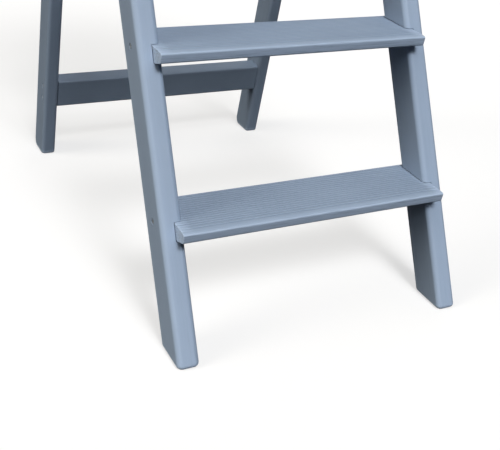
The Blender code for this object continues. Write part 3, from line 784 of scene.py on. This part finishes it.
def tread(node):
    """A tread housed in both stiles, with its two screws."""
    low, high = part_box(node)
    rooms = [screw_room(TREAD_SCREW, tread_screw_start(node, label, side), (-side, 0, 0))
             for label, side in SIDES]

    def wear_and_highlight(point):
        """Painted highlight along the nose, and faded paint on the end grain before the stiles."""
        return max(nose_highlight(point, low), 1 - (high.x - abs(point.x)) / END_FADE_REACH)

    board(node, rooms, wear_and_highlight)
    for label, side in SIDES:
        screw(f"{node}_{label}_screw", TREAD_SCREW, tread_screw_start(node, label, side),
              (-side, 0, 0), "front_frame")


def top_board():
    """The standing board on top of the stiles, with its four screws."""
    low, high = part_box("top_board")
    starts = {(label, end): board_screw_start(label, end)
              for label, _ in SIDES for end in ("front", "back")}
    rooms = [screw_room(BOARD_SCREW, start, (0, 0, -1)) for start in starts.values()]

    def wear_and_highlight(point):
        """Painted highlight along the nose, and faded paint on the end grain, most of all at the
        corners.
        """
        end = max(0.0, 1 - (high.x - abs(point.x)) / END_FADE_REACH)
        from_corner = min(point.y - low.y, high.y - point.y)
        corner = max(0.0, 1 - from_corner / CORNER_FADE_REACH)
        return max(nose_highlight(point, low), end * (SIDE_FADE + (1 - SIDE_FADE) * corner))

    board("top_board", rooms, wear_and_highlight)
    for (label, end), start in starts.items():
        screw(f"top_board_{label}_{end}_screw", BOARD_SCREW, start, (0, 0, -1), "front_frame")


def batten():
    """The batten that ties the stiles together under the top board."""
    low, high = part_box("top_batten")
    outline = filleted([(low.y, low.z, BATTEN_RADIUS), (high.y, low.z, BATTEN_RADIUS),
                        (high.y, high.z, 0), (low.y, high.z, 0)])
    part = rounded_bar("top_batten_look", outline, low.x, high.x, BAR_END_RADIUS)
    wooden(part, "top_batten", "front_frame", "rail_paint", FLAT_AXES)


# ---- Rear frame -----------------------------------------------------------------------------

HINGE_AXIS = JOINT_PLACES["fold"].yz
LEG_INNER, LEG_FACE = (corner.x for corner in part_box("right_rear_leg"))
LEG_AXES = (Vector((1, 0, 0)), Vector((0, *DOWN_LEG)), Vector((0, *LEG_FORWARD)))


def rail_screws(rail, label, side):
    """Name, start and direction of the two screws through one leg into a rail."""
    names = [f"{rail}_rail_{label}_{end}_screw" for end in ("upper", "lower")]
    return [(name, side_screw_start(name, side, LEG_FACE), (-side, 0, 0)) for name in names]


def rear_leg(label, side):
    """A rear leg with a level foot, square cut just above the hinge pin."""
    front = HINGE_AXIS - LEG_FORWARD * HINGE_OFFSET
    top_front = front - DOWN_LEG * LEG_ABOVE_PIN
    foot_y = front.x + front.y * math.tan(REAR_LEAN)
    ends = sorted((side * LEG_INNER, side * LEG_FACE))
    rings = foot_rings(*ends, LEG_DEPTH, LEG_EDGE_RADIUS, foot_y, -REAR_LEAN,
                       REAR_FOOT_RADIUS, HEEL_RADIUS)
    for step in range(EDGE_STEPS + 1):
        angle = math.pi / 2 * step / EDGE_STEPS
        inset = LEG_TOP_RADIUS * (1 - math.cos(angle))
        edge = top_front + DOWN_LEG * (LEG_TOP_RADIUS * (1 - math.sin(angle)))
        outline = section(*ends, LEG_DEPTH, LEG_EDGE_RADIUS, inset, inset, inset)
        rings.append([(x, *(edge - LEG_FORWARD * depth)) for x, depth in outline])
    shape = bmesh.new()
    add_loft(shape, rings)
    part = mesh_object(f"{label}_rear_leg_look", shape)
    rooms = [screw_room(RAIL_SCREW, start, direction)
             for rail in RAILS for _, start, direction in rail_screws(rail, label, side)]
    rooms += hinge_screw_rooms(label, "lower")
    rooms.append(straight_room(pivot_start(label, side), side, PIVOT_RADIUS, PIVOT_HOLE))
    cut(part, rooms)
    wooden(part, f"{label}_rear_leg", "rear_frame", "leg_paint", LEG_AXES, wear_and_highlight=foot_wear)


def rear_rail(rail):
    """A rail between the legs, leaning with them, with its four screws."""
    node = f"{rail}_rear_rail"
    low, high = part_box(node)
    middle = middle_of(node).yz
    corners = []
    for down, forward in ((0.5, 0.5), (0.5, -0.5), (-0.5, -0.5), (-0.5, 0.5)):
        corner = middle + DOWN_LEG * (RAIL_HEIGHT * down)
        corner += LEG_FORWARD * (RAIL_THICKNESS * forward)
        corners.append((*corner, RAIL_EDGE_RADIUS))
    part = rounded_bar(f"{node}_look", filleted(corners), low.x, high.x, BAR_END_RADIUS)
    rooms = []
    for label, side in SIDES:
        for name, start, direction in rail_screws(rail, label, side):
            rooms.append(screw_room(RAIL_SCREW, start, direction))
            screw(name, RAIL_SCREW, start, direction, "rear_frame")
    cut(part, rooms)
    wooden(part, node, "rear_frame", "rail_paint", LEG_AXES)


# ---- Hinges ---------------------------------------------------------------------------------

LEAVES = {"upper": ("front_frame", UP_STILE, STILE_BACKWARD),
          "lower": ("rear_frame", DOWN_LEG, LEG_FORWARD)}


def hinge_centre(label):
    """X of the middle of a hinge."""
    return middle_of(f"{label}_hinge_upper_leaf").x


def leaf_screw_start(label, level, number):
    """Where a leaf screw enters the leaf's face, and the screw's direction."""
    _, along, outward = LEAVES[level]
    place_on_leaf = HINGE_AXIS + outward * (CLEARANCE + LEAF_THICKNESS - HINGE_OFFSET)
    place_on_leaf += along * LEAF_SCREWS[number - 1]
    return Vector((hinge_centre(label), *place_on_leaf)), Vector((0, *-outward))


def hinge_screw_rooms(label, level):
    """The holes in leaf and wood for one leaf's two screws."""
    return [screw_room(HINGE_SCREW, *leaf_screw_start(label, level, number), STEEL_SINK)
            for number in (1, 2)]


def leaf_outline():
    """A leaf's section: (distance along the wood from the pin, height off the wood)."""
    barrel_radius = HINGE_OFFSET - CLEARANCE
    plate_top = CLEARANCE + LEAF_THICKNESS
    start = math.asin((plate_top - HINGE_OFFSET) / barrel_radius)
    barrel = arc((0, HINGE_OFFSET), barrel_radius, start, 1.5 * math.pi - start, ROUND_SEGMENTS)
    return barrel + [Vector((LEAF_LENGTH, CLEARANCE)), Vector((LEAF_LENGTH, plate_top))]


def leaf_corner_rooms(centre_x, along, outward):
    """What is taken off a leaf's two far corners to round them."""
    rooms = []
    for side in (-1, 1):
        corner = Vector((side * LEAF_WIDTH / 2, LEAF_LENGTH))
        centre = corner - Vector((side, 1)) * LEAF_CORNER
        swept = [centre + Vector((side * math.cos(angle), math.sin(angle))) * LEAF_CORNER
                 for angle in (math.pi / 2 * step / ARC_STEPS for step in range(ARC_STEPS + 1))]
        spare = Vector((side, 1)) * OVERCUT
        profile = swept + [Vector((swept[-1].x, corner.y + spare.y)), corner + spare,
                           Vector((corner.x + spare.x, swept[0].y))]
        rings = []
        for height in (-2 * OVERCUT, LEAF_THICKNESS + 2 * OVERCUT):
            base = HINGE_AXIS + outward * (height - HINGE_OFFSET)
            rings.append([Vector((centre_x + point.x, *(base + along * point.y)))
                          for point in profile])
        room = bmesh.new()
        add_loft(room, rings)
        rooms.append(room)
    return rooms


def knuckle_rooms(level, centre_x, along, outward):
    """The stretches of barrel left out for the other leaf's knuckles."""
    half = KNUCKLE_WIDTH / 2
    edge = LEAF_WIDTH / 2 + OVERCUT
    if level == "upper":
        gaps = [(-half - CLEARANCE, half + CLEARANCE)]
    else:
        gaps = [(-edge, -half), (half, edge)]
    reach = HINGE_OFFSET + CLEARANCE
    rooms = []
    for low, high in gaps:
        corners = [HINGE_AXIS + along * (reach * first) + outward * (reach * second)
                   for first, second in SQUARE]
        room = bmesh.new()
        add_extrusion(room, corners, centre_x + low, centre_x + high)
        rooms.append(room)
    return rooms


def hinge_leaf(label, level):
    """One leaf of a strap hinge with its knuckles and screws."""
    body, along, outward = LEAVES[level]
    centre_x = hinge_centre(label)
    outline = [HINGE_AXIS + along * point.x + outward * (point.y - HINGE_OFFSET)
               for point in leaf_outline()]
    name = f"{label}_hinge_{level}_leaf"
    part = rounded_bar(f"{name}_look", outline, centre_x - LEAF_WIDTH / 2,
                       centre_x + LEAF_WIDTH / 2, LEAF_EDGE)
    bore = bmesh.new()
    add_turned(bore, [(0, PIN_RADIUS + CLEARANCE), (2 * LEAF_WIDTH, PIN_RADIUS + CLEARANCE)],
               (centre_x - LEAF_WIDTH, *HINGE_AXIS), (1, 0, 0))
    rooms = knuckle_rooms(level, centre_x, along, outward)
    rooms += leaf_corner_rooms(centre_x, along, outward)
    rooms += hinge_screw_rooms(label, level)
    cut(part, [*rooms, bore])
    steel(part, name, body)
    for number in (1, 2):
        start, direction = leaf_screw_start(label, level, number)
        screw(f"{label}_hinge_{level}_screw_{number}", HINGE_SCREW, start, direction, body,
              STEEL_SINK)


def hinge_pin(label):
    """A hinge pin with a riveted head at each end."""
    half = LEAF_WIDTH / 2 + CLEARANCE
    end = half + PIN_HEAD_THICKNESS
    head = [(-end, 0.45 * PIN_HEAD_RADIUS), (-end + HEAD_RIM, 0.8 * PIN_HEAD_RADIUS),
            (-half - PIN_HEAD_RIM, PIN_HEAD_RADIUS), (-half, 0.97 * PIN_HEAD_RADIUS),
            (-half, PIN_RADIUS)]
    profile = head + [(-distance, radius) for distance, radius in reversed(head)]
    shape = bmesh.new()
    add_turned(shape, profile, (hinge_centre(label), *HINGE_AXIS), (1, 0, 0))
    steel(mesh_object(f"{label}_hinge_pin_look", shape), f"{label}_hinge_pin", "front_frame")


# ---- Hook stays -----------------------------------------------------------------------------

def hook_pivot(label):
    """(Y, Z) of a hook's pivot."""
    return JOINT_PLACES[f"{label}_hook_lift"].yz


def crown(node, side, place):
    """The outermost point of a fastener whose axis runs along X through a (Y, Z) place."""
    low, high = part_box(node)
    return Vector((high.x if side > 0 else low.x, *place))


def straight_room(start, side, radius, depth):
    """A straight hole along X for a shank, from just outside its head's crown."""
    room = bmesh.new()
    outside = start + Vector((side * 2 * OVERCUT, 0, 0))
    profile = [(0, radius + CLEARANCE), (depth + 2 * OVERCUT, radius + CLEARANCE)]
    add_turned(room, profile, outside, (-side, 0, 0))
    return room


def pivot_start(label, side):
    """The crown of a hook's pivot screw."""
    return crown(f"{label}_hook_pivot_screw", side, hook_pivot(label))


def stud_start(label, side):
    """The crown of a hook's stud."""
    return crown(f"{label}_hook_stud", side, middle_of(f"{label}_hook_stud").yz)


def hook_outline(label):
    """A level flat bar with a round eye end and a notch that opens downwards over the stud."""
    pivot = hook_pivot(label)
    stud = middle_of(f"{label}_hook_stud").yz
    notch = STUD_RADIUS + 2 * CLEARANCE
    tip = stud.x - HOOK_TIP
    eye = pivot.x + HOOK_HALF_BAR
    low = stud.y - HOOK_DROP
    high = pivot.y + HOOK_HALF_BAR
    bar_low = pivot.y - HOOK_HALF_BAR
    return filleted([
        (tip, high, HOOK_HALF_BAR), (tip, low, HOOK_POINT_RADIUS),
        (stud.x - notch, low, HOOK_POINT_RADIUS), (stud.x - notch, stud.y + notch, notch),
        (stud.x + notch, stud.y + notch, notch), (stud.x + notch, bar_low, HOOK_POINT_RADIUS),
        (eye, bar_low, HOOK_HALF_BAR), (eye, high, HOOK_HALF_BAR)])


def domed(name, start, side, head_radius, height, neck_radius, length, tip_radius):
    """A round-headed fastener that runs inwards from the crown of its head."""
    profile = []
    for step in range(1, ARC_STEPS + 1):
        angle = math.pi / 2 * step / ARC_STEPS
        profile.append((height * (1 - math.cos(angle)), head_radius * math.sin(angle)))
    end = height + length
    profile += [(height, neck_radius), (end - TIP_LENGTH, neck_radius), (end, tip_radius)]
    shape = bmesh.new()
    add_turned(shape, profile, start, (-side, 0, 0))
    return mesh_object(f"{name}_look", shape)


def hook(label, side):
    """A hook with its pivot hole."""
    low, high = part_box(f"{label}_hook")
    part = rounded_bar(f"{label}_hook_look", hook_outline(label), low.x, high.x, HOOK_EDGE)
    cut(part, [straight_room(pivot_start(label, side), side, PIVOT_RADIUS, PIVOT_HOLE)])
    steel(part, f"{label}_hook", f"{label}_hook_stay")


def pivot_screw(label, side):
    """The screw that a hook turns on."""
    node = f"{label}_hook_pivot_screw"
    start = pivot_start(label, side)
    part = domed(node, start, side, PIVOT_HEAD_RADIUS, PIVOT_HEAD_HEIGHT, PIVOT_RADIUS,
                 PIVOT_LENGTH, 0.3 * PIVOT_RADIUS)
    cut(part, cross_recess(PIVOT_HEAD_RADIUS, start, (-side, 0, 0)))
    steel(part, node, "rear_frame")


def hook_washer(label):
    """The washer between a hook and its leg."""
    node = f"{label}_hook_washer"
    low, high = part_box(node)
    bore = PIVOT_RADIUS + CLEARANCE
    inner = WASHER_RADIUS - WASHER_RIM
    profile = [(low.x, bore), (low.x, inner), (low.x + WASHER_RIM, WASHER_RADIUS),
               (high.x - WASHER_RIM, WASHER_RADIUS), (high.x, inner), (high.x, bore)]
    shape = bmesh.new()
    add_turned(shape, profile, (0, *hook_pivot(label)), (1, 0, 0), closed=True)
    steel(mesh_object(f"{node}_look", shape), node, "rear_frame")


def hook_stud(label, side):
    """The headed stud that a hook drops over."""
    node = f"{label}_hook_stud"
    part = domed(node, stud_start(label, side), side, STUD_HEAD_RADIUS, STUD_HEAD_HEIGHT,
                 STUD_RADIUS, STUD_LENGTH, 0.8 * STUD_RADIUS)
    steel(part, node, "front_frame")


# ---- Stage ----------------------------------------------------------------------------------

FLOOR_SIZE = 60.0
FLOOR_DROP = 0.0006  # below the feet
FLOOR_GREY = (0.42, 0.42, 0.42, 1.0)
FLOOR_GLOW = 0.60
BACKDROP = (0.98, 0.98, 0.98, 1.0)
# Broad soft lights in the sky: azimuth from the front towards the left, elevation, sharpness,
# strength and colour
SKY_LIGHTS = (
    (1.0, 48.5, 110.0, 48.5, (1.0, 1.0, 1.0)),   # in front, above
    (93.0, 28.0, 34.0, 9.6, (1.05, 1.0, 0.90)),  # on the left
    (215.0, 32.0, 12.0, 0.9, (1.0, 1.0, 1.0)),   # faint, behind on the right
)
SKY_GREY = (0.8, 0.8, 0.8, 1.0)
SKY_FILL = 0.05

CAMERA_PLACE = (-0.74352, -1.60738, 0.94048)
CAMERA_YAW = math.radians(-32.488)
CAMERA_PITCH = math.radians(-24.675)
CAMERA_ROLL = math.radians(6.852)
LENS_LENGTH = 69.548  # millimetres, like the sensor's width
SENSOR_WIDTH = 36.0
LENS_SHIFT = (-0.18374, -0.10860)


def floor():
    """A plain pale floor that takes soft shadows but throws no light back up."""
    shape = bmesh.new()
    half = FLOOR_SIZE / 2
    shape.faces.new([shape.verts.new((half * x, half * y, -FLOOR_DROP)) for x, y in SQUARE])
    plane = mesh_object("floor", shape)
    plane.visible_diffuse = False
    plane.visible_glossy = False
    graph = Graph("floor_white")
    graph.shader.inputs["Base Color"].default_value = FLOOR_GREY
    graph.shader.inputs["Roughness"].default_value = 0.9
    graph.shader.inputs["Specular IOR Level"].default_value = 0.0
    graph.shader.inputs["Emission Color"].default_value = (1.0, 1.0, 1.0, 1.0)
    graph.shader.inputs["Emission Strength"].default_value = FLOOR_GLOW
    plane.data.materials.append(graph.material)


def light_direction(azimuth, elevation):
    """Unit vector towards a light; the azimuth turns from the front towards the left."""
    azimuth, elevation = math.radians(azimuth), math.radians(elevation)
    level = math.cos(elevation)
    return (-level * math.sin(azimuth), -level * math.cos(azimuth), math.sin(elevation))


def sky():
    """Broad soft lights in a dim sky, with a pale backdrop for the camera alone."""
    world = bpy.data.worlds.new("studio")
    bpy.context.scene.world = world
    world.use_nodes = True
    world.node_tree.nodes.clear()
    tree = Tree(world.node_tree)
    direction = tree.node("ShaderNodeTexCoord").outputs["Generated"]

    def background(colour, strength):
        """Light of one colour."""
        made = tree.node("ShaderNodeBackground")
        made.inputs["Color"].default_value = colour
        tree.feed(made.inputs["Strength"], strength)
        return made.outputs["Background"]

    total = background(SKY_GREY, SKY_FILL)
    for azimuth, elevation, sharpness, strength, colour in SKY_LIGHTS:
        towards = tree.node("ShaderNodeVectorMath", operation="DOT_PRODUCT")
        tree.feed(towards.inputs[0], direction)
        tree.feed(towards.inputs[1], light_direction(azimuth, elevation))
        facing = tree.math("MAXIMUM", towards.outputs["Value"], 0.0)
        lobe = tree.math("POWER", facing, sharpness)
        both = tree.node("ShaderNodeAddShader")
        tree.feed(both.inputs[0], total)
        tree.feed(both.inputs[1], background((*colour, 1.0), tree.math("MULTIPLY", lobe, strength)))
        total = both.outputs["Shader"]

    choice = tree.node("ShaderNodeMixShader")
    tree.feed(choice.inputs["Fac"], tree.node("ShaderNodeLightPath").outputs["Is Camera Ray"])
    tree.feed(choice.inputs[1], total)
    tree.feed(choice.inputs[2], background(BACKDROP, 1.0))
    tree.feed(tree.node("ShaderNodeOutputWorld").inputs["Surface"], choice.outputs["Shader"])


def camera():
    """The camera, looking down at the foot of the ladder from its front left."""
    lens = bpy.data.cameras.new("camera")
    lens.lens = LENS_LENGTH
    lens.sensor_width = SENSOR_WIDTH
    lens.shift_x, lens.shift_y = LENS_SHIFT
    lens.clip_start = 0.02
    lens.clip_end = 200.0
    eye = bpy.data.objects.new("camera", lens)
    turn = Matrix.Rotation(CAMERA_YAW, 4, "Z")
    turn @= Matrix.Rotation(math.pi / 2 + CAMERA_PITCH, 4, "X")
    turn @= Matrix.Rotation(CAMERA_ROLL, 4, "Z")
    eye.matrix_world = Matrix.Translation(CAMERA_PLACE) @ turn
    bpy.context.scene.collection.objects.link(eye)
    bpy.context.scene.camera = eye


# ---- The whole scene ------------------------------------------------------------------------

for label, side in SIDES:
    stile(label, side)
    rear_leg(label, side)
    for level in LEAVES:
        hinge_leaf(label, level)
    hinge_pin(label)
    hook(label, side)
    pivot_screw(label, side)
    hook_washer(label)
    hook_stud(label, side)
for node in TREADS:
    tread(node)
top_board()
batten()
for rail in RAILS:
    rear_rail(rail)

floor()
sky()
camera()
bpy.context.scene.view_settings.view_transform = "Standard"
bpy.context.scene.view_settings.look = "None"
